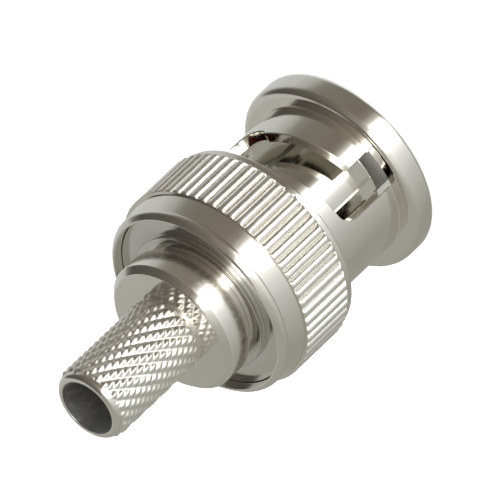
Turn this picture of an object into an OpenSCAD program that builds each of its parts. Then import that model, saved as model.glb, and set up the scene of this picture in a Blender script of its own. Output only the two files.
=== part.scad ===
// Crimp-type bayonet (BNC) cable plug, standing on its mating face.
// Z runs along the plug's axis, from the mating face at z = 0 towards the cable.
// All lengths are in millimetres and all angles in degrees.

/* [Coupling nut] */
// How far the front flange stands out from the shell
flange_w = 1.28; // [1.2:0.02:1.4]
// Height of the flange's plain rim
flange_h = 1.74; // [1.4:0.02:2.2]
// Outer diameter of the shell that the bayonet slots are cut through
shell_d = 11.24; // [11:0.02:11.6]
// Wall of the shell, whose bore slides over the mating socket
shell_wall = 0.69; // [0.64:0.01:0.8]
// Length of the nut from the mating face to its rear rim
nut_len = 15.35; // [15.1:0.05:16.2]
// Diameter over the teeth of the grip
grip_d = 14.5; // [14.3:0.05:15]
// Diameter of the plain bands before and behind the teeth
band_d = 14.1; // [13.9:0.02:14.2]
// Height of the nut's front shoulder above the mating face
shoulder_z = 8.5; // [8.3:0.05:8.7]
// Length of the toothed stretch
teeth_len = 4.35; // [3:0.05:4.6]
// Number of teeth around the grip
teeth_n = 60; // [40:1:72]
// Depth of the grooves between the teeth
teeth_h = 0.27; // [0.15:0.01:0.4]
// Diameter of the recess in the rear rim
recess_d = 12.8; // [12.4:0.05:13]
// Depth of the recess in the rear rim
recess_depth = 1.2; // [1:0.05:1.4]
// Thickness of the nut's rear wall
wall_t = 1.1; // [0.8:0.05:1.3]

/* [Bayonet slots] */
// Width of the way in for a stud, across the axis
entry_w = 2.64; // [2.3:0.02:2.8]
// Direction of the middle of the first way in, about the axis
entry_dir = -107.4; // [-180:0.1:180]
// Height at which the cam edge starts beside the way in
cam_z = 3.75; // [3.5:0.05:4]
// Rise of the cam in a whole turn
cam_lead = 5.6; // [4.8:0.1:6]
// Turn from the middle of the way in to the middle of the resting place
lock_turn = 90; // [80:1:95]
// Width of the cam slot along the axis
slot_w = 3; // [2.3:0.05:3.1]
// Depth of the resting place in the cam edge
rest_depth = 0.35; // [0.1:0.05:0.5]

/* [Contacts] */
// Wall of the outer contact
outer_contact_t = 0.7; // [0.5:0.02:0.74]
// Distance of the outer contact's tip behind the mating face
tip_z = 1.7; // [1.2:0.1:2.2]
// Number of spring fingers on the outer contact
finger_n = 4; // [3:1:6]
// Length of the slots between the fingers
finger_len = 4.4; // [3:0.1:6]
// Width of the slots between the fingers
finger_gap = 0.45; // [0.3:0.05:0.7]
// Diameter of the centre pin
pin_d = 1.37; // [1.32:0.01:1.4]
// Distance of the centre pin's tip behind the outer contact's tip
pin_back = 0.8; // [0.5:0.1:1.5]
// Diameter of the hole in the insulator that the mating insulator enters
socket_d = 4.9; // [4.83:0.01:5.2]

/* [Body] */
// Radial width of the sealing ring, between the nut's bore and the outer contact
seal_w = 0.8; // [0.76:0.02:0.9]
// Step from the body's flange down to its tube through the nut
flange_step = 0.75; // [0.7:0.01:0.85]
// Thickness of the body's flange
body_flange_t = 0.7; // [0.6:0.05:0.9]
// Height of the sealing ring along the axis
gasket_h = 0.9; // [0.7:0.05:1.1]

/* [Cable end] */
// Diameter of the collar
collar_d = 9.44; // [9:0.02:9.8]
// Length of the collar
collar_len = 2.42; // [2:0.02:3]
// Bevel on both edges of the collar
collar_bevel = 0.42; // [0.2:0.02:0.6]
// Diameter of the crimp neck over its knurl
neck_d = 5.3; // [5.1:0.02:5.6]
// Length of the crimp neck
neck_len = 8.18; // [6:0.02:10]
// Bore of the crimp neck, which takes the cable's insulation
neck_bore_d = 3.9; // [3.7:0.02:4.1]
// Radius of the rounding on the neck's plain lip
lip_r = 0.4; // [0.2:0.02:0.42]
// Number of grooves in each of the knurl's two crossing sets
knurl_n = 20; // [14:1:26]
// Depth of the knurl
knurl_h = 0.15; // [0.08:0.01:0.16]

/* [Washers and springs] */
// Thickness of the flat washer seen in the rear recess
washer_t = 0.5; // [0.4:0.05:0.6]
// Thickness of the ring that holds the flat washer
clip_t = 0.48; // [0.4:0.02:0.6]
// How far that ring stands out round the body's tube
clip_w = 0.88; // [0.7:0.02:1]
// Opening of that ring, as an angle
clip_gap = 24; // [15:1:40]
// Thickness of the thrust washer in front of the nut's wall
thrust_t = 0.35; // [0.3:0.05:0.5]
// Thickness of the strip of each wave washer
wave_t = 0.2; // [0.15:0.01:0.25]
// Free height of each wave washer
wave_h = 0.5; // [0.45:0.05:0.7]
// Number of waves around each wave washer
wave_n = 3; // [3:1:4]

/* [Hidden] */
$fn = 96;

run_gap = 0.08;     // radial running clearance between the nut and what it turns on
slip_gap = 0.02;    // radial clearance of a piece slipped into another
touch_gap = 0.02;   // clearance between the crests of the two wave washers
cut = 1;            // how far a cutter reaches past what it cuts

// places along the axis, from the nut's rear wall both ways
wall_rear_z = nut_len - recess_depth;
wall_front_z = wall_rear_z - wall_t;
thrust_z = wall_front_z - thrust_t;
wave_rear_z = thrust_z - wave_h;
wave_front_z = wave_rear_z - wave_h;
body_flange_z = wave_front_z - body_flange_t;
gasket_z = body_flange_z - gasket_h;
clip_z = wall_rear_z + washer_t;
tube_end_z = clip_z + clip_t + 0.47;
collar_end_z = tube_end_z + collar_len;
neck_end_z = collar_end_z + neck_len;

// the nut's radii and edges
shell_r = shell_d / 2;
flange_r = shell_r + flange_w;
bore_r = shell_r - shell_wall;
band_r = band_d / 2;
grip_r = grip_d / 2;
recess_r = recess_d / 2;
body_flange_r = bore_r - run_gap;
tube_r = body_flange_r - flange_step;
wall_hole_r = tube_r + run_gap;
flange_round = 0.35;        // rounding of the flange's front edge
flange_bevel = [0.4, 0.18]; // width and height of the bevel on the flange's rear edge
cove_r = 0.8;               // hollow fillet between the flange and the shell
mouth_bevel = 0.25;
band_bevel = 0.2;
rim_edge = 0.07;            // softening of the rear rim's inner edge
teeth_z = shoulder_z + 0.5;
rear_band_h = nut_len - teeth_z - teeth_len;
rim_bevel = [0.52, min(0.48, rear_band_h / 2)]; // width and height of the rear rim's bevel
teeth_core_r = grip_r - teeth_h - 0.4;
tooth_bevel = 0.2;

// the bayonet slot
cut_r = shell_r + 0.1;      // reach of the way in under the flange
slot_corner_r = 0.9;        // rounding where the slot turns into the way in
slot_end_r = 1.2;           // rounding of the slot's far end
mm_per_deg = PI * shell_r / 180;
entry_half = entry_w / 2;
lock_s = lock_turn * mm_per_deg;
slot_end_s = lock_s + slot_w / 2 - 0.15;
rest_half = 1.25;           // half the width of the resting place

// the contacts, the insulators and the body's bores
contact_r = body_flange_r - seal_w;
contact_bore_r = contact_r - outer_contact_t;
spigot_r = contact_r - 0.35;
spigot_len = 1.4;
finger_dir = -40;           // direction of one slot between the fingers, from the -Y side
pin_r = pin_d / 2;
stem_r = pin_r + 0.25;      // the pin where the insulator holds it
pin_z = tip_z + pin_back;
insulator_z = tip_z + 0.6;
socket_len = 5.7;
collar_of_pin_r = 1.2;
collar_of_pin_t = 0.6;
pin_collar_z = insulator_z + socket_len + 0.7;
pin_split_z = pin_collar_z + collar_of_pin_t;
barrel_r = 0.95;
barrel_bore_r = 0.5;
rear_bore_r = tube_r - 0.8;
crimp_spigot_len = 2.7;
rear_insulator_end_z = tube_end_z - crimp_spigot_len;
barrel_end_z = rear_insulator_end_z + 1.7;
neck_r = neck_d / 2;
neck_core_r = neck_r - knurl_h - 0.05;      // the plain neck under the knurl
knurl_angle = 30;           // slant of the knurl's grooves, from the axis
knurl_z = collar_end_z + 0.4;
knurl_end_z = neck_end_z - 0.9;
neck_bore_r = neck_bore_d / 2;
neck_bore_z = barrel_end_z + 0.4;
barrel_room_r = 1.6;
clip_groove_depth = 0.32;

// Points of an arc about c, from angle a to angle b, in n steps
function arc(c, r, a, b, n) =
    [for (i = [0:n]) c + r * [cos(a + (b - a) * i / n), sin(a + (b - a) * i / n)]];

// A round piece from its half section, given as [radius, height] points
module turned(points) {
    rotate_extrude() polygon(points);
}

// A flat ring
module ring(inner_r, outer_r, z, height) {
    translate([0, 0, z]) difference() {
        cylinder(r = outer_r, h = height);
        translate([0, 0, -cut]) cylinder(r = inner_r, h = height + 2 * cut);
    }
}

// ---- coupling nut ----

module nut_blank() {
    face_z = flange_h + flange_bevel[1];
    turned(concat(
        [[bore_r + mouth_bevel, 0]],
        arc([flange_r - flange_round, flange_round], flange_round, -90, 0, 5),
        [[flange_r, flange_h], [flange_r - flange_bevel[0], face_z]],
        arc([shell_r + cove_r, face_z + cove_r], cove_r, 270, 180, 8),
        [[shell_r, shoulder_z], [band_r - band_bevel, shoulder_z],
         [band_r, shoulder_z + band_bevel], [band_r, teeth_z],
         [teeth_core_r, teeth_z], [teeth_core_r, teeth_z + teeth_len],
         [band_r, teeth_z + teeth_len], [band_r, nut_len - rim_bevel[1]],
         [band_r - rim_bevel[0], nut_len], [recess_r + rim_edge, nut_len],
         [recess_r, nut_len - rim_edge], [recess_r, wall_rear_z],
         [wall_hole_r, wall_rear_z], [wall_hole_r, wall_front_z],
         [bore_r, wall_front_z], [bore_r, mouth_bevel]]));
}

// Outline of the teeth: broad rounded tops with narrow grooves between them
module teeth_outline() {
    pitch = 360 / teeth_n;
    profile = [[-0.5, 1], [-0.4, 0.5], [-0.26, 0.12], [0, 0], [0.26, 0.12], [0.4, 0.5]];
    polygon([for (i = [0:teeth_n - 1], p = profile)
        (grip_r - teeth_h * p[1]) * [cos((i + p[0]) * pitch), sin((i + p[0]) * pitch)]]);
}

module teeth() {
    intersection() {
        translate([0, 0, teeth_z]) linear_extrude(teeth_len) difference() {
            teeth_outline();
            circle(r = teeth_core_r - 0.1);
        }
        turned([[0, teeth_z], [grip_r - tooth_bevel, teeth_z], [grip_r, teeth_z + tooth_bevel],
            [grip_r, teeth_z + teeth_len - tooth_bevel],
            [grip_r - tooth_bevel, teeth_z + teeth_len], [0, teeth_z + teeth_len]]);
    }
}

// Distance along the slot at which each section of its cutter stands
slot_s = concat(
    [for (a = [12:19.5:90]) -entry_half + slot_corner_r * (1 - cos(a))],
    [for (i = [1:9]) slot_corner_r - entry_half
        + (lock_s - rest_half - slot_corner_r + entry_half) * i / 9],
    [for (a = [155:-25:105]) lock_s + rest_half * cos(a)],
    [for (a = [90:-22.5:0]) slot_end_s - slot_end_r * (1 - cos(a))]);

// How far a rounded end of radius r has closed in at distance d from the end
function closed_in(d, r) = d >= r ? 0 : r - sqrt(max(0, r * r - (r - d) * (r - d)));

// The cam edge at distance s along the slot, with its resting place
function cam_edge(s) =
    let (u = (s - lock_s) / rest_half)
    cam_z + (s - entry_half) * cam_lead / (360 * mm_per_deg)
    - (abs(u) < 1 ? rest_depth * sqrt(1 - u * u) : 0)
    + closed_in(slot_end_s - s, slot_end_r);

// The slot's other edge
function back_edge(s) =
    cam_z + slot_w + (s - entry_half) * cam_lead / (360 * mm_per_deg)
    - closed_in(s + entry_half, slot_corner_r)
    - closed_in(slot_end_s - s, slot_end_r);

// A cutter for the sloping slot, swept through the shell's wall
module slot_cutter() {
    inner = bore_r - cut;
    outer = shell_r + cut;
    count = len(slot_s);
    points = [for (s = slot_s)
        let (a = s / mm_per_deg, low = cam_edge(s), high = back_edge(s))
        each [for (p = [[inner, low], [outer, low], [outer, high], [inner, high]])
            [p[0] * cos(a), p[0] * sin(a), p[1]]]];
    sides = [for (i = [0:count - 2], k = [0:3])
        [4 * i + k, 4 * i + (k + 1) % 4, 4 * i + 4 + (k + 1) % 4, 4 * i + 4 + k]];
    last = 4 * (count - 1);
    polyhedron(points, concat([[3, 2, 1, 0]], sides, [[last, last + 1, last + 2, last + 3]]),
        convexity = 6);
}

// A cutter for the straight way in, which passes under the flange and meets the slot's rounded corner
module entry_cutter() {
    half_turn = entry_half / mm_per_deg;
    inner = bore_r - 2 * cut;
    rotate_extrude(angle = 2 * half_turn, start = -half_turn)
        translate([inner, -cut])
            square([cut_r - inner, back_edge(-entry_half) + cut]);
}

module coupling_nut() {
    color([0.78, 0.78, 0.75]) difference() {
        union() {
            nut_blank();
            teeth();
        }
        for (turn = [0, 180]) rotate([0, 0, entry_dir + turn]) {
            slot_cutter();
            entry_cutter();
        }
    }
}

// ---- contacts and insulators ----

module outer_contact() {
    tip_bevel = 0.2;
    color([0.8, 0.79, 0.76]) difference() {
        turned([[contact_bore_r, tip_z], [contact_r - tip_bevel, tip_z],
            [contact_r, tip_z + tip_bevel], [contact_r, body_flange_z],
            [spigot_r, body_flange_z], [spigot_r, body_flange_z + spigot_len],
            [contact_bore_r, body_flange_z + spigot_len]]);
        for (i = [0:finger_n - 1]) rotate([0, 0, finger_dir - 90 + i * 360 / finger_n])
            translate([contact_bore_r - cut, -finger_gap / 2, tip_z - cut])
                cube([outer_contact_t + 2 * cut, finger_gap, finger_len + cut]);
    }
}

module front_insulator() {
    outer_r = contact_bore_r - slip_gap;
    color([0.93, 0.93, 0.91])
        turned([[socket_d / 2, insulator_z], [outer_r, insulator_z], [outer_r, pin_split_z],
            [collar_of_pin_r + slip_gap, pin_split_z], [collar_of_pin_r + slip_gap, pin_collar_z],
            [stem_r + slip_gap, pin_collar_z], [stem_r + slip_gap, insulator_z + socket_len],
            [socket_d / 2, insulator_z + socket_len]]);
}

module rear_insulator() {
    color([0.93, 0.93, 0.91])
        ring(barrel_r + slip_gap, min(contact_bore_r, rear_bore_r) - slip_gap, pin_split_z,
            rear_insulator_end_z - pin_split_z);
}

module centre_contact() {
    nose = 0.4;
    peep_r = 0.25;
    color([0.85, 0.7, 0.36]) difference() {
        turned(concat([[0, pin_z]], arc([pin_r - nose, pin_z + nose], nose, -90, 0, 5),
            [[pin_r, insulator_z + socket_len], [stem_r, insulator_z + socket_len],
             [stem_r, pin_collar_z], [collar_of_pin_r, pin_collar_z],
             [collar_of_pin_r, pin_split_z], [barrel_r, pin_split_z],
             [barrel_r, barrel_end_z], [barrel_bore_r, barrel_end_z],
             [barrel_bore_r, pin_split_z + 1.5], [0, pin_split_z + 1.2]]));
        translate([0, 0, barrel_end_z - 0.9]) rotate([90, 0, 0]) cylinder(r = peep_r, h = 3);
    }
}

// ---- body and cable end ----

module plug_body() {
    groove_r = tube_r - clip_groove_depth;
    color([0.76, 0.76, 0.73])
        turned([[spigot_r, body_flange_z], [body_flange_r, body_flange_z],
            [body_flange_r, wave_front_z], [tube_r, wave_front_z], [tube_r, clip_z],
            [groove_r, clip_z], [groove_r, clip_z + clip_t], [tube_r, clip_z + clip_t],
            [tube_r, tube_end_z], [rear_bore_r, tube_end_z],
            [rear_bore_r, body_flange_z + spigot_len], [spigot_r, body_flange_z + spigot_len]]);
}

// A sleeve with crossed grooves, which leave small diamonds between them. Diamond tops and groove
// crossings take turns along each row, and a groove runs from each crossing to the nearest ones in
// the next row. Both ends and the inside are sunk in the neck.
module knurl() {
    columns = 2 * knurl_n;
    fade = 0.3;
    rows = round((knurl_end_z - knurl_z) * tan(knurl_angle) / (PI * neck_r / knurl_n));
    row_z = concat([knurl_z - fade],
        [for (j = [0:rows]) knurl_z + (knurl_end_z - knurl_z) * j / rows], [knurl_end_z + fade]);
    last = rows + 2;
    function is_crossing(i, j) = (i + j) % 2 == 0;
    function outer_r(i, j) = j == 0 || j == last ? neck_core_r - 0.1
        : is_crossing(i, j) ? neck_r - knurl_h : neck_r;
    function point(r, i, z) = [r * cos(180 / knurl_n * i), r * sin(180 / knurl_n * i), z];
    function outside(i, j) = i % columns + columns * j;
    function inside(i, top) = outside(i, last + (top ? 2 : 1));
    points = concat(
        [for (j = [0:last], i = [0:columns - 1]) point(outer_r(i, j), i, row_z[j])],
        [for (j = [0, last], i = [0:columns - 1])
            point((neck_bore_r + neck_core_r) / 2, i, row_z[j])]);
    outer_faces = [for (j = [0:last - 1], i = [0:columns - 1])
        let (a = outside(i, j), b = outside(i + 1, j),
            c = outside(i + 1, j + 1), d = outside(i, j + 1))
        each is_crossing(i, j) ? [[a, d, c], [a, c, b]] : [[a, d, b], [b, d, c]]];
    other_faces = [for (i = [0:columns - 1])
        let (a = inside(i, false), b = inside(i + 1, false),
            c = inside(i + 1, true), d = inside(i, true))
        each [[a, b, c, d], [outside(i, 0), outside(i + 1, 0), b, a],
            [outside(i + 1, last), outside(i, last), d, c]]];
    polyhedron(points, concat(outer_faces, other_faces), convexity = 8);
}

module crimp_body() {
    collar_r = collar_d / 2;
    lip_bevel = 0.08;
    color([0.78, 0.78, 0.75]) union() {
        turned(concat(
            [[barrel_room_r, rear_insulator_end_z], [rear_bore_r, rear_insulator_end_z],
             [rear_bore_r, tube_end_z], [collar_r - collar_bevel, tube_end_z],
             [collar_r, tube_end_z + collar_bevel], [collar_r, collar_end_z - collar_bevel],
             [collar_r - collar_bevel, collar_end_z], [neck_core_r, collar_end_z]],
            arc([neck_core_r - lip_r, neck_end_z - lip_r], lip_r, 0, 90, 5),
            [[neck_bore_r + lip_bevel, neck_end_z], [neck_bore_r, neck_end_z - lip_bevel],
             [neck_bore_r, neck_bore_z], [barrel_room_r, neck_bore_z]]));
        knurl();
    }
}

// ---- washers, springs and seal ----

module sealing_ring() {
    soft_edge = 0.12;
    inner_r = contact_r + slip_gap;
    outer_r = body_flange_r;
    color([0.62, 0.2, 0.13])
        turned([[inner_r, gasket_z], [outer_r - soft_edge, gasket_z],
            [outer_r, gasket_z + soft_edge], [outer_r, body_flange_z], [inner_r, body_flange_z]]);
}

module retaining_ring() {
    color([0.72, 0.72, 0.7])
        rotate_extrude(angle = 360 - clip_gap, start = 90 + clip_gap / 2)
            translate([tube_r - clip_groove_depth, clip_z])
                square([clip_w + clip_groove_depth, clip_t]);
}

module retaining_washer() {
    color([0.74, 0.74, 0.72])
        ring(tube_r + run_gap, recess_r - 0.1, wall_rear_z, washer_t);
}

module thrust_washer() {
    color([0.72, 0.72, 0.7])
        ring(tube_r + run_gap, body_flange_r, thrust_z, thrust_t);
}

// A wavy strip ring standing on z, whose crests lie at the given phase
module wave_washer(z, phase) {
    steps = wave_n * 16;
    inner_r = tube_r + run_gap;
    outer_r = body_flange_r - 0.05;
    swing = (wave_h - wave_t - touch_gap / 2) / 2;
    points = [for (i = [0:steps - 1])
        let (a = 360 * i / steps, low = z + swing * (1 + cos(wave_n * a + phase)))
        each [for (p = [[inner_r, low], [outer_r, low], [outer_r, low + wave_t],
            [inner_r, low + wave_t]]) [p[0] * cos(a), p[0] * sin(a), p[1]]]];
    faces = [for (i = [0:steps - 1], k = [0:3])
        let (j = (i + 1) % steps)
        [4 * i + k, 4 * i + (k + 1) % 4, 4 * j + (k + 1) % 4, 4 * j + k]];
    color([0.82, 0.72, 0.5]) polyhedron(points, faces, convexity = 8);
}

module wave_washer_front() {
    wave_washer(wave_front_z, 0);
}

module wave_washer_rear() {
    wave_washer(wave_rear_z + touch_gap / 2, 180);
}

coupling_nut();
outer_contact();
plug_body();
crimp_body();
front_insulator();
rear_insulator();
centre_contact();
sealing_ring();
retaining_ring();
retaining_washer();
thrust_washer();
wave_washer_front();
wave_washer_rear();
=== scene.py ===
"""A crimp-type bayonet (BNC) cable plug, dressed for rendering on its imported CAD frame.

The plug stands on its mating face at z = 0 and points its cable end up. Sizes are in
millimetres and degrees; every mesh is made in metres. Angles about the axis are counted from
+X, but azimuths in the studio from -Y, where the camera stands, towards +X.
"""
import math

import bmesh
import bpy
from mathutils import Matrix, Vector


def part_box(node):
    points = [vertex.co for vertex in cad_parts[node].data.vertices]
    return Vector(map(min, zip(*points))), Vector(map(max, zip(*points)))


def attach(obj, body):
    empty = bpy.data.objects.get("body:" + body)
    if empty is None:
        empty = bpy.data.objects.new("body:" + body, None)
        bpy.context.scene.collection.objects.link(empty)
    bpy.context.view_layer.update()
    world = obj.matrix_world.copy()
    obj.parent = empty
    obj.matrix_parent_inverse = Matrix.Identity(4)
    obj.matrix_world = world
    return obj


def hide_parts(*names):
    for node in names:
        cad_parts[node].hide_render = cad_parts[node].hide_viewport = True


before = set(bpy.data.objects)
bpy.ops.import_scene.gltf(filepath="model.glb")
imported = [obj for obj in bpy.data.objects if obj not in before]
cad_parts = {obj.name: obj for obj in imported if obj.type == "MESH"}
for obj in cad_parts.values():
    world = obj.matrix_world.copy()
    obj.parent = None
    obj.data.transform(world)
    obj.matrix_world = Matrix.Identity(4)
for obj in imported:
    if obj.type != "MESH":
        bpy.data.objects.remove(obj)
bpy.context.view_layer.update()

MM = 0.001
TAU = math.tau
EDGE_ANGLE = math.radians(28)   # edges sharper than this stay sharp in the shading
MERGE_DISTANCE = 0.0002 * MM    # points closer than this become one point


# ---- sizes, in millimetres and degrees ----

TINY = 0.001                # tells a point on an edge from one beside it
AXIS_R = 0.0001             # points this close to the axis are merged into one


def box_mm(node):
    """Greatest radius, lowest and highest z of a CAD node."""
    low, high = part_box(node)
    return max(high.x, -low.x) / MM, low.z / MM, high.z / MM


grip_r, _, nut_len = box_mm("coupling_nut")
contact_r, tip_z, contact_end_z = box_mm("outer_contact")
insulator_r, insulator_z, pin_split_z = box_mm("front_insulator")
_, pin_z, barrel_end_z = box_mm("centre_contact")
seal_r, seal_z, seal_end_z = box_mm("sealing_ring")
body_flange_r, body_flange_z, tube_end_z = box_mm("plug_body")
clip_r, clip_z, clip_end_z = box_mm("retaining_ring")
_, wall_rear_z, washer_end_z = box_mm("retaining_washer")
collar_r, crimp_z, neck_end_z = box_mm("crimp_body")

# the nut
shell_r = 5.62
bore_r = 4.93
mouth_bevel = 0.25
flange_r = 6.9
flange_h = 1.92
flange_edge = 0.6
shoulder_z = 8.5
band_r = 7.05
teeth_z = 9.0
teeth_end_z = 13.35
teeth_count = 60
teeth_columns = 20          # steps round the axis for each tooth
teeth_depth = 0.27
teeth_sharpness = 2.6       # larger makes the grooves narrower
tooth_run_out = 0.28        # length over which a tooth slopes down to the band
run_out_power = 1.2         # larger makes that slope hollower
rim_bevel = (0.52, 0.48)
recess_r = 6.4
wall_z = wall_rear_z - 1.1  # the wall between the bore and the rear recess
tube_r = 4.1
hub_r = tube_r + 0.08       # of the nut and the washer, which turn on the tube
washer_gap = 0.04           # round the retaining washer
slip_gap = 0.02             # between a piece and what it is slipped into
crest_gap = 0.002           # between the teeth's crests and the CAD box

# the bayonet slots
entry_width = 2.64
entry_direction = -107.4
channel_r = shell_r + 0.1
cam_z = 3.75
cam_lead = 5.6              # rise in a whole turn
lock_turn = 90
slot_width = 3.0
rest_depth = 0.35
rest_half = 1.25
slot_corner_r = 0.9
slot_end_r = 1.2
slot_short = 0.15           # what the blind end falls short of half a slot beyond the lock
edge_break = 0.06           # small bevel along the edges of the slots

# contacts, insulators, body and cable end
contact_wall = 0.7
spigot_r = contact_r - 0.35
body_flange_end_z = body_flange_z + 0.7
finger_count = 4
finger_direction = -130
finger_length = 4.4
finger_gap = 0.45
socket_r = 2.45
socket_end_z = insulator_z + 5.7
pin_r = 0.685
stem_r = pin_r + 0.25
pin_collar_r = 1.2
pin_collar_z = pin_split_z - 0.6
barrel_r = 0.95
barrel_bore_r = 0.5
barrel_bore_z = pin_split_z + 1.5
clip_gap = 24
groove_r = tube_r - 0.32
collar_end_z = tube_end_z + 2.42
collar_bevel = 0.42
neck_r = 2.65
neck_bore_r = 1.95
neck_bore_z = barrel_end_z + 0.4
room_r = 1.6
rear_bore_r = 3.3
neck_core_r = 2.45
lip_r = 0.4

# the knurl round the neck: main grooves like the solid's, crossed by finer ones
knurl_n = 20
knurl_h = 0.15
knurl_z = collar_end_z + 0.4
knurl_end_z = neck_end_z - 0.62
knurl_fade = 0.3            # length over which it sinks away beyond each end
knurl_sink = 0.2            # how far it sinks
knurl_row = (neck_end_z - 0.9 - knurl_z) / 10   # height of one row of the solid's diamonds
fine_n = 34
fine_angle = 30
fine_share = 0.55           # share of the height that the finer grooves cut
bead_power = 1.3            # larger makes the beads rounder at the foot


# ---- materials ----

def new_material(name):
    """A node material with its Principled shader, as (material, nodes, links, shader)."""
    material = bpy.data.materials.new(name)
    material.use_nodes = True
    nodes = material.node_tree.nodes
    return material, nodes, material.node_tree.links, nodes["Principled BSDF"]


def noise(nodes, links, scale, detail):
    """A noise texture in object space, with features about 1 / scale metres across."""
    place = nodes.new("ShaderNodeTexCoord")
    texture = nodes.new("ShaderNodeTexNoise")
    texture.inputs["Scale"].default_value = scale
    texture.inputs["Detail"].default_value = detail
    links.new(place.outputs["Object"], texture.inputs["Vector"])
    return texture.outputs["Fac"]


def ranged(nodes, links, value, low, high):
    """A noise value, which runs mostly from 0.3 to 0.7, spread from low to high."""
    node = nodes.new("ShaderNodeMapRange")
    node.inputs["From Min"].default_value = 0.3
    node.inputs["From Max"].default_value = 0.7
    node.inputs["To Min"].default_value = low
    node.inputs["To Max"].default_value = high
    links.new(value, node.inputs["Value"])
    return node.outputs["Result"]


def blended(nodes, links, factor, first, second):
    """A mix of two colours, each a colour or another node's output."""
    node = nodes.new("ShaderNodeMix")
    node.data_type = "RGBA"
    links.new(factor, node.inputs["Factor"])
    for name, colour in (("A", first), ("B", second)):
        if isinstance(colour, tuple):
            node.inputs[name].default_value = (*colour, 1)
        else:
            links.new(colour, node.inputs[name])
    return node.outputs["Result"]


def bumped(nodes, links, shader, value, height):
    """Adds a bump of that height, in metres, to the shader."""
    node = nodes.new("ShaderNodeBump")
    node.inputs["Distance"].default_value = height
    links.new(value, node.inputs["Height"])
    links.new(node.outputs["Normal"], shader.inputs["Normal"])


def plated_metal(name, colour, shade, roughness, ripple):
    """Bright plate: a mirror with faint clouding, small pits and shallow waves from polishing.

    colour and shade are mixed by the clouding, and ripple is the height of the waves.
    """
    material, nodes, links, shader = new_material(name)
    shader.inputs["Metallic"].default_value = 1
    clouds = noise(nodes, links, scale=420, detail=4)
    links.new(blended(nodes, links, ranged(nodes, links, clouds, 0, 1), colour, shade),
              shader.inputs["Base Color"])
    pits = noise(nodes, links, scale=3200, detail=2)
    links.new(ranged(nodes, links, pits, roughness * 0.8, roughness * 1.35),
              shader.inputs["Roughness"])
    waves = noise(nodes, links, scale=900, detail=5)
    bumped(nodes, links, shader, waves, ripple * MM)
    return material


def soft_solid(name, colour, shade, roughness, grain_scale, grain_height, subsurface):
    """Plastic or rubber with a fine grain and a coarser mottle of two colours."""
    material, nodes, links, shader = new_material(name)
    mottle = noise(nodes, links, grain_scale / 6, detail=3)
    links.new(blended(nodes, links, ranged(nodes, links, mottle, 0, 1), colour, shade),
              shader.inputs["Base Color"])
    grain = noise(nodes, links, grain_scale, detail=3)
    links.new(ranged(nodes, links, grain, roughness * 0.85, roughness * 1.15),
              shader.inputs["Roughness"])
    shader.inputs["Subsurface Weight"].default_value = subsurface
    shader.inputs["Subsurface Scale"].default_value = 0.3 * MM
    bumped(nodes, links, shader, grain, grain_height * MM)
    return material


nickel = plated_metal(
    "nickel_plate", (0.85, 0.825, 0.775), (0.82, 0.795, 0.74), roughness=0.09, ripple=0.0009)
# the nickel on the teeth and knurl: rougher, and lighter in colour as painted light
nickel_grip_painted_light = plated_metal(
    "nickel_plate_grip_painted_light", (0.91, 0.89, 0.84), (0.88, 0.86, 0.81), roughness=0.33, ripple=0.0009)
# the nickel on the collar: rougher, and lighter in colour as painted light
nickel_rough_painted_light = plated_metal(
    "nickel_plate_rough_painted_light", (0.95, 0.925, 0.87), (0.91, 0.885, 0.83), roughness=0.19, ripple=0.0009)
# the nickel inside the bores: rougher, and darker in colour as painted shade
nickel_inside_painted_shade = plated_metal(
    "nickel_plate_inside_painted_shade", (0.72, 0.72, 0.71), (0.65, 0.65, 0.64), roughness=0.36, ripple=0.0003)
nickel_contact = plated_metal(
    "nickel_contact", (0.74, 0.72, 0.67), (0.7, 0.68, 0.63), roughness=0.1, ripple=0.001)
washer_steel = plated_metal(
    "washer_steel", (0.72, 0.71, 0.68), (0.69, 0.68, 0.65), roughness=0.12, ripple=0.0012)
spring_bronze = plated_metal(
    "spring_bronze", (0.72, 0.5, 0.3), (0.66, 0.44, 0.25), roughness=0.22, ripple=0.002)
gold_plate = plated_metal(
    "gold_plate", (0.95, 0.72, 0.36), (0.9, 0.66, 0.3), roughness=0.12, ripple=0.001)
white_ptfe = soft_solid(
    "white_ptfe", (0.84, 0.84, 0.82), (0.79, 0.79, 0.77), roughness=0.45,
    grain_scale=6000, grain_height=0.002, subsurface=0.15)
seal_rubber = soft_solid(
    "seal_rubber", (0.36, 0.055, 0.03), (0.3, 0.045, 0.025), roughness=0.55,
    grain_scale=9000, grain_height=0.003, subsurface=0)


# ---- mesh tools ----

def rounded(points):
    """Corners given as (r, z) or (r, z, fillet): each fillet becomes an arc between its sides."""
    steps = 6
    outline = []
    count = len(points)
    for i, point in enumerate(points):
        corner = Vector(point[:2])
        if len(point) < 3:
            outline.append(tuple(corner))
            continue
        before = (Vector(points[i - 1][:2]) - corner).normalized()
        after = (Vector(points[(i + 1) % count][:2]) - corner).normalized()
        half = before.angle(after) / 2
        reach = point[2] / math.tan(half)
        centre = corner + (before + after).normalized() * (point[2] / math.sin(half))
        first = corner + before * reach - centre
        last = corner + after * reach - centre
        turn = math.atan2(first.x * last.y - first.y * last.x, first.dot(last))
        for k in range(steps + 1):
            outline.append(tuple(centre + Matrix.Rotation(turn * k / steps, 2) @ first))
    return outline


def split(outline, longest):
    """The closed outline with its long sides cut into pieces, none longer than longest."""
    result = []
    for i, start in enumerate(outline):
        end = outline[(i + 1) % len(outline)]
        pieces = max(1, math.ceil(math.dist(start, end) / longest))
        result += [(start[0] + (end[0] - start[0]) * k / pieces,
                    start[1] + (end[1] - start[1]) * k / pieces) for k in range(pieces)]
    return result


def in_scene(name, data):
    """A new object for a mesh, lamp or camera, linked to the scene."""
    thing = bpy.data.objects.new(name, data)
    bpy.context.scene.collection.objects.link(thing)
    return thing


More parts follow.
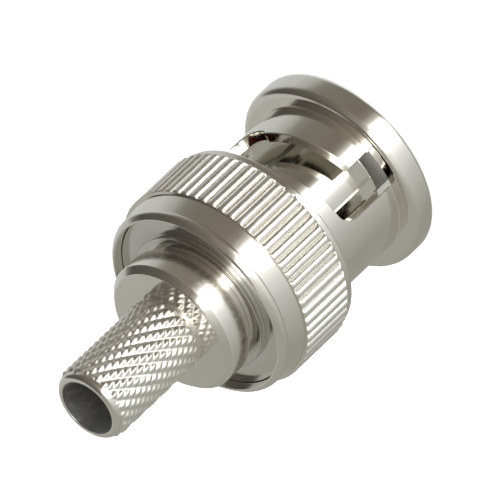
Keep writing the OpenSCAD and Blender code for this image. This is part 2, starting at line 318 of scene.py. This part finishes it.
def new_piece(name, mesh, node, body, slot, *materials):
    """Makes a finished mesh a piece, which stands for a CAD node and rides on its body."""
    piece = in_scene(name, mesh)
    for material in materials:
        mesh.materials.append(material)
    mesh.shade_smooth()
    mesh.set_sharp_from_angle(angle=EDGE_ANGLE)
    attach(piece, body)
    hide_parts(node)


def mesh_of(bm, name):
    """Turns bm into a mesh and frees it."""
    mesh = bpy.data.meshes.new(name)
    bm.to_mesh(mesh)
    bm.free()
    return mesh


def turned(name, outline, columns, radius_at=None, material_at=None, arc=None):
    """A mesh turned from a closed outline of (r, z) points, anticlockwise with r to the right.

    columns is the number of steps round the axis. radius_at(r, z, angle) may move a point in or
    out, material_at(r, z) gives the material's number for the faces near a point, and
    arc = (start, sweep) in degrees makes a part turn.
    """
    bm = bmesh.new()
    start, sweep = (math.radians(a) for a in arc) if arc else (0, TAU)
    stations = columns + 1 if arc else columns
    rings = []
    for k in range(stations):
        angle = start + sweep * k / columns
        cos, sin = math.cos(angle), math.sin(angle)
        ring = []
        for r, z in outline:
            radius = radius_at(r, z, angle) if radius_at else r
            ring.append(bm.verts.new((radius * cos * MM, radius * sin * MM, z * MM)))
        rings.append(ring)
    for k in range(columns):
        this, following = rings[k], rings[(k + 1) % stations]
        for i, (r, z) in enumerate(outline):
            j = (i + 1) % len(outline)
            face = bm.faces.new((this[i], following[i], following[j], this[j]))
            if material_at:
                face.material_index = material_at((r + outline[j][0]) / 2,
                                                  (z + outline[j][1]) / 2)
    if arc:
        bm.faces.new(rings[0])
        bm.faces.new(rings[-1][::-1])
    bmesh.ops.remove_doubles(bm, verts=bm.verts, dist=MERGE_DISTANCE)
    bmesh.ops.recalc_face_normals(bm, faces=bm.faces)
    return mesh_of(bm, name)


def swept(name, sections):
    """A closed mesh through sections, which are loops of the same number of 3D points."""
    bm = bmesh.new()
    loops = [[bm.verts.new(Vector(p) * MM) for p in section] for section in sections]
    size = len(loops[0])
    for a, b in zip(loops, loops[1:]):
        for k in range(size):
            bm.faces.new((a[k], a[(k + 1) % size], b[(k + 1) % size], b[k]))
    bm.faces.new(loops[0][::-1])
    bm.faces.new(loops[-1])
    bmesh.ops.recalc_face_normals(bm, faces=bm.faces)
    return mesh_of(bm, name)


def cut_from(mesh, cutters, name):
    """A new mesh: the given one less the cutters, each a closed mesh."""
    whole = in_scene("cut_whole", mesh)
    tools = [in_scene("cutter", cutter) for cutter in cutters]
    for tool in tools:
        modifier = whole.modifiers.new("cut", "BOOLEAN")
        modifier.operation = "DIFFERENCE"
        modifier.solver = "MANIFOLD"
        modifier.object = tool
    graph = bpy.context.evaluated_depsgraph_get()
    result = bpy.data.meshes.new_from_object(whole.evaluated_get(graph))
    result.name = name
    result.materials.clear()
    for thing in [whole, *tools]:
        bpy.data.objects.remove(thing)
    return result


def round_the_axis(points, angle):
    """(r, along, z) points, where along is an arc length on the shell, turned by angle degrees."""
    result = []
    for r, along, z in points:
        turn = math.radians(angle) + along / shell_r
        result.append((r * math.cos(turn), r * math.sin(turn), z))
    return result


# ---- coupling nut ----

entry_half = entry_width / 2
lock_s = math.radians(lock_turn) * shell_r
slot_end_s = lock_s + slot_width / 2 - slot_short


def closed_in(distance, radius):
    """How far an end rounded with this radius has closed in at this distance from the end."""
    if distance >= radius:
        return 0
    return radius - math.sqrt(max(0, radius ** 2 - (radius - distance) ** 2))


def cam_rise(s):
    """How far the sloping slot has risen at distance s along it."""
    return (s - entry_half) * cam_lead / (TAU * shell_r)


def cam_edge(s):
    """Height of the slot's lower edge at distance s along it, with the resting place."""
    u = (s - lock_s) / rest_half
    rest = rest_depth * math.sqrt(1 - u * u) if abs(u) < 1 else 0
    return cam_z + cam_rise(s) - rest + closed_in(slot_end_s - s, slot_end_r)


def back_edge(s):
    """Height of the slot's upper edge at distance s along it."""
    return (cam_z + slot_width + cam_rise(s) - closed_in(s + entry_half, slot_corner_r)
            - closed_in(slot_end_s - s, slot_end_r))


def slot_places():
    """Distances along the slot for the cutter's sections, closer where its edges turn."""
    corner = [-entry_half + slot_corner_r * (1 - math.cos(math.radians(a)))
              for a in range(8, 90, 6)]
    first, last = corner[-1], slot_end_s - slot_end_r
    steps = 90
    middle = [first + (last - first) * k / steps for k in range(1, steps)]
    end = [slot_end_s - slot_end_r * (1 - math.cos(math.radians(a))) for a in range(90, -1, -6)]
    return corner + middle + end


def slot_cutter(angle):
    """Cutter for the sloping slot, flared where it leaves the shell to break the edges."""
    inside, near, far = bore_r - 1, shell_r - edge_break, shell_r + 1
    spread = far - near
    sections = []
    for s in slot_places():
        low, high = cam_edge(s), back_edge(s)
        sections.append(round_the_axis(
            [(inside, s, low), (near, s, low), (far, s, low - spread),
             (far, s, high + spread), (near, s, high), (inside, s, high)], angle))
    return swept("slot_cutter", sections)


def entry_cutter(angle):
    """Cutter for the straight way in: a groove inside the flange, and open behind it."""
    inside, bottom, top = bore_r - 2, -1, back_edge(-entry_half)
    sections = []
    steps = 24
    for k in range(steps + 1):
        s = entry_half * (2 * k / steps - 1)
        sections.append(round_the_axis(
            [(inside, s, bottom), (channel_r, s, bottom), (channel_r, s, top), (inside, s, top)],
            angle))
    return swept("entry_cutter", sections)


def entry_edge_cutter(angle, side):
    """Bevel along one side of the way in, behind the flange."""
    near, far = shell_r - edge_break, shell_r + 0.5
    edge = side * entry_half
    out = edge + side * (far - near)
    inner = edge - side * 0.3               # inside the way in
    bottom = flange_h + 0.1                 # clear of the fillet behind the flange
    top = cam_z + 0.02 if side > 0 else back_edge(-entry_half) + 0.12   # just into the slot
    corners = [(near, edge), (far, out), (far, inner), (near, inner)]
    return swept("entry_edge_cutter", [round_the_axis([(r, s, z) for r, s in corners], angle)
                                       for z in (bottom, top)])


def nut_outline():
    """Half section of the nut, anticlockwise from the mouth's inner edge.

    The run-outs at both ends of the teeth get rows of points here, and grip_radius shapes them.
    """
    front = rounded([
        (bore_r, 6), (bore_r, mouth_bevel, 0.05), (bore_r + mouth_bevel, 0, 0.05),
        (flange_r, 0, 0.35), (flange_r, flange_h, flange_edge), (shell_r, flange_h, 0.08),
        (shell_r, 3)])[1:]
    rows = 8
    grip = [(band_r, teeth_z)]
    for k in range(1, rows + 1):
        grip.append((grip_r, teeth_z + tooth_run_out * k / rows))
    for k in range(rows + 1):
        grip.append((grip_r, teeth_end_z - tooth_run_out * (1 - k / rows)))
    grip.append((band_r, teeth_end_z + TINY))
    rear = rounded([
        (band_r, nut_len - rim_bevel[1], 0.35), (band_r - rim_bevel[0], nut_len, 0.05),
        (recess_r, nut_len, 0.02), (recess_r, wall_rear_z, 0.05),
        (hub_r, wall_rear_z), (hub_r, wall_z), (bore_r, wall_z)])
    shoulder = rounded([
        (shell_r, 8.0), (shell_r, shoulder_z, 0.08), (band_r, shoulder_z, 0.2), (band_r, 8.9)])
    return front + shoulder + grip + rear


def grip_radius(r, z, angle):
    """Radius of the grip: broad crowned teeth with narrow grooves, run out at both ends."""
    if r < grip_r - TINY or not teeth_z < z < teeth_end_z:
        return r
    place = (angle / TAU * teeth_count) % 1
    from_groove = 1 - abs(2 * place - 1)
    toothed = grip_r - crest_gap - teeth_depth * (1 - from_groove) ** teeth_sharpness
    run = min(z - teeth_z, teeth_end_z - z) / tooth_run_out
    share = math.sin(math.pi / 2 * min(1, run)) ** run_out_power
    return band_r + (toothed - band_r) * share


def coupling_nut():
    """The nut: flange, shell with two slots half a turn apart, toothed grip and rear recess."""
    blank = turned("coupling_nut_blank", split(nut_outline(), longest=1.2),
                   teeth_count * teeth_columns, grip_radius)
    cutters = []
    for turn in (0, 180):
        angle = entry_direction + turn
        cutters += [slot_cutter(angle), entry_cutter(angle)]
        cutters += [entry_edge_cutter(angle, side) for side in (-1, 1)]
    mesh = cut_from(blank, cutters, "coupling_nut")
    new_piece("coupling_nut_finished", mesh, "coupling_nut", "nut", "nickel_plate", nickel,
              nickel_grip_painted_light)
    # the teeth take the lighter nickel, painted light
    inner, low, high = band_r - 0.3, teeth_z + 0.02, teeth_end_z - 0.02
    for face in mesh.polygons:
        x, y, z = face.center / MM
        if math.hypot(x, y) > inner and low < z < high:
            face.material_index = 1         # nickel_grip_painted_light, on the teeth


# ---- contacts, front insulator and seal ----

def outer_contact():
    """The tube of spring fingers that slides into the mating socket."""
    outline = rounded([
        (contact_r - contact_wall, tip_z, 0.08), (contact_r, tip_z, 0.22),
        (contact_r, body_flange_z), (spigot_r, body_flange_z),
        (spigot_r, contact_end_z), (contact_r - contact_wall, contact_end_z)])
    blank = turned("outer_contact_blank", split(outline, longest=1.5), columns=480)
    inside, outside, half = contact_r - 1.5, contact_r + 0.5, finger_gap / 2
    gaps = []
    for k in range(finger_count):
        angle = math.radians(finger_direction + 360 * k / finger_count)
        along = Vector((math.cos(angle), math.sin(angle), 0))
        across = Vector((-along.y, along.x, 0))
        corners = [along * r + across * w for r, w in [
            (inside, -half), (outside, -half), (outside, half), (inside, half)]]
        gaps.append(swept("finger_gap", [[c + Vector((0, 0, z)) for c in corners]
                                         for z in (tip_z - 1, tip_z + finger_length)]))
    mesh = cut_from(blank, gaps, "outer_contact")
    new_piece("outer_contact_finished", mesh, "outer_contact", "plug", "nickel_contact",
              nickel_contact)


def front_insulator():
    """The white cup round the pin, which takes the mating insulator."""
    hole_r, collar_hole_r = stem_r + slip_gap, pin_collar_r + slip_gap
    outline = rounded([
        (socket_r, insulator_z, 0.08), (insulator_r, insulator_z, 0.08),
        (insulator_r, pin_split_z), (collar_hole_r, pin_split_z),
        (collar_hole_r, pin_collar_z), (hole_r, pin_collar_z),
        (hole_r, socket_end_z), (socket_r, socket_end_z, 0.1)])
    mesh = turned("front_insulator", outline, columns=240)
    new_piece("front_insulator_finished", mesh, "front_insulator", "plug", "white_ptfe",
              white_ptfe)


def centre_contact():
    """The pin with its round nose, the stem and collar in the insulators, and the barrel."""
    nose = 0.4
    tip = [(AXIS_R, pin_z)] + [
        (pin_r - nose + nose * math.sin(a), pin_z + nose * (1 - math.cos(a)))
        for a in [math.radians(d) for d in range(0, 91, 9)]]
    outline = tip + [
        (pin_r, socket_end_z), (stem_r, socket_end_z), (stem_r, pin_collar_z),
        (pin_collar_r, pin_collar_z), (pin_collar_r, pin_split_z),
        (barrel_r, pin_split_z), (barrel_r, barrel_end_z - 0.1), (barrel_r - 0.1, barrel_end_z),
        (barrel_bore_r + 0.05, barrel_end_z), (barrel_bore_r, barrel_end_z - 0.05),
        (barrel_bore_r, barrel_bore_z), (AXIS_R, pin_split_z + 1.2)]
    mesh = turned("centre_contact", outline, columns=120)
    new_piece("centre_contact_finished", mesh, "centre_contact", "plug", "gold_plate",
              gold_plate)


def sealing_ring():
    """The rubber ring on the contact, in front of the body's flange."""
    inner = contact_r + slip_gap
    outline = rounded([(inner, seal_z, 0.1), (seal_r, seal_z, 0.3), (seal_r, seal_end_z, 0.08),
                       (inner, seal_end_z, 0.05)])
    mesh = turned("sealing_ring", outline, columns=240)
    new_piece("sealing_ring_finished", mesh, "sealing_ring", "plug", "seal_rubber",
              seal_rubber)


# ---- body and cable end ----

def plug_body():
    """The flanged tube that the nut turns on, with the groove for the retaining ring."""
    end_z = tube_end_z - slip_gap       # just clear of the collar
    outline = rounded([
        (spigot_r, body_flange_z), (body_flange_r, body_flange_z, 0.05),
        (body_flange_r, body_flange_end_z, 0.05), (tube_r, body_flange_end_z),
        (tube_r, clip_z, 0.03), (groove_r, clip_z), (groove_r, clip_end_z),
        (tube_r, clip_end_z, 0.03), (tube_r, end_z), (rear_bore_r, end_z),
        (rear_bore_r, contact_end_z), (spigot_r, contact_end_z)])
    mesh = turned("plug_body", outline, columns=480)
    new_piece("plug_body_finished", mesh, "plug_body", "plug", "nickel_plate", nickel)


def knurl_radius(r, z, angle):
    """Radius of the neck: crossed sets of helical grooves leave rows of small beads."""
    fade = min((z - knurl_z) / knurl_fade, (knurl_end_z - z) / knurl_fade, 0) + 1
    if r < neck_core_r - TINY or fade < 0:
        return r
    main = (angle * knurl_n / math.pi - 1 - (z - knurl_z) / knurl_row) / 2
    slope = math.tan(math.radians(fine_angle)) / neck_r
    fine = (angle + slope * z) * fine_n / TAU
    ridge = abs(math.sin(math.pi * main)) ** bead_power
    bead = 1 - fine_share + fine_share * abs(math.sin(math.pi * fine)) ** bead_power
    return max(neck_core_r, neck_r + knurl_h * (ridge * bead - 1) - knurl_sink * (1 - fade))


def crimp_body():
    """The collar and the knurled crimp neck with its bore, in one piece."""
    neck_rows = 150
    outline = rounded([
        (room_r, crimp_z, 0.03), (rear_bore_r, crimp_z, 0.1), (rear_bore_r, tube_end_z),
        (collar_r - collar_bevel, tube_end_z, 0.1), (collar_r, tube_end_z + collar_bevel, 0.12),
        (collar_r, collar_end_z - collar_bevel, 0.1),
        (collar_r - collar_bevel, collar_end_z, 0.08), (neck_core_r, collar_end_z)])
    outline += [(neck_core_r, collar_end_z + (neck_end_z - lip_r - collar_end_z) * k / neck_rows)
                for k in range(1, neck_rows)]
    outline += rounded([
        (neck_core_r, neck_end_z - 0.8), (neck_core_r, neck_end_z, lip_r),
        (neck_bore_r, neck_end_z, 0.05), (neck_bore_r, neck_end_z - 1)])[1:-1]
    outline += [(neck_bore_r, neck_bore_z), (room_r, neck_bore_z)]

    def material_at(r, z):
        lip, inside, knurl, collar = range(4)
        # the bore takes the darker nickel, painted shade
        if r < neck_bore_r + 0.01:
            return inside
        if z <= collar_end_z - collar_bevel + 0.05:
            return collar
        return knurl if r < neck_core_r + 0.01 and z < neck_end_z - lip_r else lip

    mesh = turned("crimp_body", outline, 400, knurl_radius, material_at)
    new_piece("crimp_body_finished", mesh, "crimp_body", "plug", "nickel_plate",
              nickel, nickel_inside_painted_shade, nickel_grip_painted_light, nickel_rough_painted_light)


# ---- washers and ring ----

def retaining_washer():
    """The flat washer in the nut's rear recess."""
    outer = recess_r - washer_gap
    outline = rounded([
        (hub_r, wall_rear_z, 0.04), (outer, wall_rear_z, 0.04), (outer, washer_end_z, 0.04),
        (hub_r, washer_end_z, 0.07)])
    mesh = turned("retaining_washer", outline, columns=480)
    new_piece("retaining_washer_finished", mesh, "retaining_washer", "plug", "washer_steel",
              washer_steel)


def retaining_ring():
    """The split ring in the body's groove, with its gap on the far side."""
    outline = rounded([
        (groove_r, clip_z, 0.05), (clip_r, clip_z, 0.02), (clip_r, clip_end_z, 0.06),
        (groove_r, clip_end_z, 0.05)])
    mesh = turned("retaining_ring", outline, columns=360,
                  arc=(90 + clip_gap / 2, 360 - clip_gap))
    new_piece("retaining_ring_finished", mesh, "retaining_ring", "plug", "washer_steel",
              washer_steel)


def dress_cad_nodes():
    """Finishes for the CAD pieces that keep their own form."""
    finishes = {"thrust_washer": washer_steel, "wave_washer_front": spring_bronze,
                "wave_washer_rear": spring_bronze, "rear_insulator": white_ptfe}
    for name, material in finishes.items():
        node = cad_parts[name]
        node.data.materials.clear()
        node.data.materials.append(material)


# ---- studio ----

STUDIO_STRENGTH = 4     # the walls' colours are divided by it, as a ramp holds none above 1


def calculated(nodes, links, operation, *values):
    """A Math node's result for its inputs, each a number or another node's output."""
    node = nodes.new("ShaderNodeMath")
    node.operation = operation
    for socket, value in zip(node.inputs, values):
        if isinstance(value, (int, float)):
            socket.default_value = value
        else:
            links.new(value, socket)
    return node.outputs[0]


def direction_mask(nodes, links, value, start, end):
    """A smooth step from 0 at start to 1 at end."""
    node = nodes.new("ShaderNodeMapRange")
    node.interpolation_type = "SMOOTHSTEP"
    node.inputs["From Min"].default_value = start
    node.inputs["From Max"].default_value = end
    links.new(value, node.inputs["Value"])
    return node.outputs["Result"]


def wall(nodes, links, turn, stops):
    """Colours round the horizon, from (azimuth in degrees, colour) stops."""
    ramp = nodes.new("ShaderNodeValToRGB")
    elements = ramp.color_ramp.elements
    while len(elements) > 1:
        elements.remove(elements[-1])
    for k, (azimuth, colour) in enumerate(stops):
        place = azimuth / 360 + 0.5
        element = elements[0] if k == 0 else elements.new(place)
        element.position = place
        element.color = (*colour, 1)
    links.new(turn, ramp.inputs["Fac"])
    return ramp.outputs["Color"]


def studio_world():
    """White for the camera. In the metal: a tall soft box, pale walls and a brown flag.

    The low wall lies below the horizon, the high one above it, and a dark ceiling over both.
    """
    world = bpy.data.worlds.new("studio")
    bpy.context.scene.world = world
    world.use_nodes = True
    nodes, links = world.node_tree.nodes, world.node_tree.links
    background = nodes["Background"]
    place = nodes.new("ShaderNodeTexCoord")
    parts = nodes.new("ShaderNodeSeparateXYZ")
    links.new(place.outputs["Generated"], parts.inputs["Vector"])

    near = calculated(nodes, links, "MULTIPLY", parts.outputs["Y"], -1)
    azimuth = calculated(nodes, links, "ARCTAN2", parts.outputs["X"], near)
    turn = calculated(nodes, links, "MULTIPLY_ADD", azimuth, 1 / TAU, 0.5)

    pale, warm_grey, white = (0.157, 0.163, 0.162), (0.087, 0.087, 0.077), (0.7, 0.7, 0.69)
    brown, dark = (0.05, 0.0445, 0.0365), (0.022, 0.0195, 0.017)
    low = wall(nodes, links, turn, [
        (-180, warm_grey), (-110, warm_grey), (-75, (0.117, 0.118, 0.112)),
        (-52, (0.152, 0.154, 0.15)), (-32, (0.217, 0.221, 0.217)), (-22, (0.3, 0.302, 0.298)),
        (-14, white), (7, white), (13, (0.165, 0.16, 0.15)), (20, (0.07, 0.063, 0.0515)),
        (28, brown), (70, (0.0545, 0.05, 0.042)), (84, (0.065, 0.063, 0.056)),
        (96, (0.113, 0.115, 0.109)), (115, (0.146, 0.15, 0.146)), (179, pale)])
    high = wall(nodes, links, turn, [
        (-180, (0.1, 0.1, 0.09)), (-148, (0.096, 0.095, 0.086)), (-90, (0.096, 0.095, 0.086)),
        (-60, (0.122, 0.122, 0.114)), (-35, (0.196, 0.195, 0.189)), (-22, (0.26, 0.26, 0.253)),
        (-14, white), (2, white), (10, (0.16, 0.15, 0.13)), (20, (0.075, 0.067, 0.056)),
        (50, (0.045, 0.04, 0.033)), (85, (0.03, 0.028, 0.024)), (128, dark),
        (136, (0.043, 0.042, 0.04)), (142, (0.13, 0.13, 0.126)), (165, (0.13, 0.13, 0.124)),
        (179, (0.113, 0.113, 0.105))])
    above = wall(nodes, links, turn, [
        (-180, (0.09, 0.087, 0.078)), (-20, (0.09, 0.087, 0.078)), (0, (0.06, 0.055, 0.05)),
        (25, (0.036, 0.034, 0.031)), (120, (0.03, 0.028, 0.026)), (179, (0.06, 0.058, 0.052))])
    up = direction_mask(nodes, links, parts.outputs["Z"], start=-0.35, end=0.25)
    walls = blended(nodes, links, up, low, high)
    ceiling = direction_mask(nodes, links, parts.outputs["Z"], start=0.852, end=0.872)
    mirrored = blended(nodes, links, ceiling, walls, above)
    path = nodes.new("ShaderNodeLightPath")
    plain_white = (1 / STUDIO_STRENGTH,) * 3
    links.new(blended(nodes, links, path.outputs["Is Glossy Ray"], plain_white, mirrored),
              background.inputs["Color"])
    background.inputs["Strength"].default_value = STUDIO_STRENGTH


def floor():
    """A white floor, shaded softly by the plug and seen from above only, with a painted shadow: no
    glow in a disc the size of the nut's bore.
    """
    half, level = 2.0, -0.02 * MM
    bm = bmesh.new()
    corners = [(-half, -half), (half, -half), (half, half), (-half, half)]
    bm.faces.new([bm.verts.new((x, y, level)) for x, y in corners])
    mesh = mesh_of(bm, "floor")
    piece = in_scene("floor", mesh)
    piece.visible_glossy = False

    material, nodes, links, shader = new_material("floor_white")
    shader.inputs["Base Color"].default_value = (0.88, 0.88, 0.87, 1)
    shader.inputs["Roughness"].default_value = 0.9
    shader.inputs["Specular IOR Level"].default_value = 0
    shader.inputs["Emission Color"].default_value = (1, 1, 1, 1)
    # a glow for the camera makes it white; a disc the size of the nut's bore gets none, a painted
    # shadow inside the bore
    path = nodes.new("ShaderNodeLightPath")
    glow = calculated(nodes, links, "MULTIPLY", path.outputs["Is Camera Ray"], 0.3)
    place = nodes.new("ShaderNodeTexCoord")
    reach = nodes.new("ShaderNodeVectorMath")
    reach.operation = "LENGTH"
    links.new(place.outputs["Object"], reach.inputs[0])
    # painted shadow: the glow stops within the bore's radius of the axis
    outside = calculated(nodes, links, "GREATER_THAN", reach.outputs["Value"], bore_r * MM)
    links.new(calculated(nodes, links, "MULTIPLY", glow, outside),
              shader.inputs["Emission Strength"])

    clear = nodes.new("ShaderNodeBsdfTransparent")
    side = nodes.new("ShaderNodeNewGeometry")
    either = nodes.new("ShaderNodeMixShader")
    links.new(side.outputs["Backfacing"], either.inputs["Fac"])
    links.new(shader.outputs["BSDF"], either.inputs[1])
    links.new(clear.outputs["BSDF"], either.inputs[2])
    links.new(either.outputs["Shader"], nodes["Material Output"].inputs["Surface"])
    mesh.materials.append(material)


def lamp(name, azimuth, elevation, size, power):
    """A square soft lamp aimed at the plug. It lights, but the metal doesn't mirror it."""
    distance = 0.7
    aim = Vector((0, 0, 13 * MM))
    light = bpy.data.lights.new(name, "AREA")
    light.size = size
    light.energy = power
    lamp_object = in_scene(name, light)
    a, e = math.radians(azimuth), math.radians(elevation)
    out = Vector((math.sin(a) * math.cos(e), -math.cos(a) * math.cos(e), math.sin(e)))
    lamp_object.location = out * distance + aim
    lamp_object.rotation_euler = out.to_track_quat("Z", "Y").to_euler()
    lamp_object.visible_glossy = False


def camera():
    """A long lens that looks down on the plug, rolled so that the cable end is at lower left."""
    distance = 897.3
    elevation = math.radians(32.17)
    roll = math.radians(-133.38)
    aim = Vector((0, 0, 12))
    forward = Vector((0, math.cos(elevation), -math.sin(elevation)))
    level = Vector((1, 0, 0))
    upright = level.cross(forward)
    right = math.cos(roll) * level + math.sin(roll) * upright
    up = math.cos(roll) * upright - math.sin(roll) * level
    data = bpy.data.cameras.new("camera")
    data.sensor_width = 36
    data.lens = 1040.2
    data.shift_x = 0.0425
    data.shift_y = 0.0485
    data.clip_start = 0.05
    data.clip_end = 10
    place = (aim - forward * distance) * MM
    turn = Matrix((right, up, -forward)).transposed().to_4x4()
    camera_object = in_scene("camera", data)
    camera_object.matrix_world = Matrix.Translation(place) @ turn
    bpy.context.scene.camera = camera_object


camera()
coupling_nut()
outer_contact()
front_insulator()
centre_contact()
sealing_ring()
plug_body()
crimp_body()
retaining_washer()
retaining_ring()
dress_cad_nodes()
studio_world()
floor()
lamp("key_lamp", azimuth=-25, elevation=55, size=0.5, power=3)
lamp("fill_lamp", azimuth=120, elevation=40, size=0.6, power=1.5)
bpy.context.scene.view_settings.view_transform = "Standard"
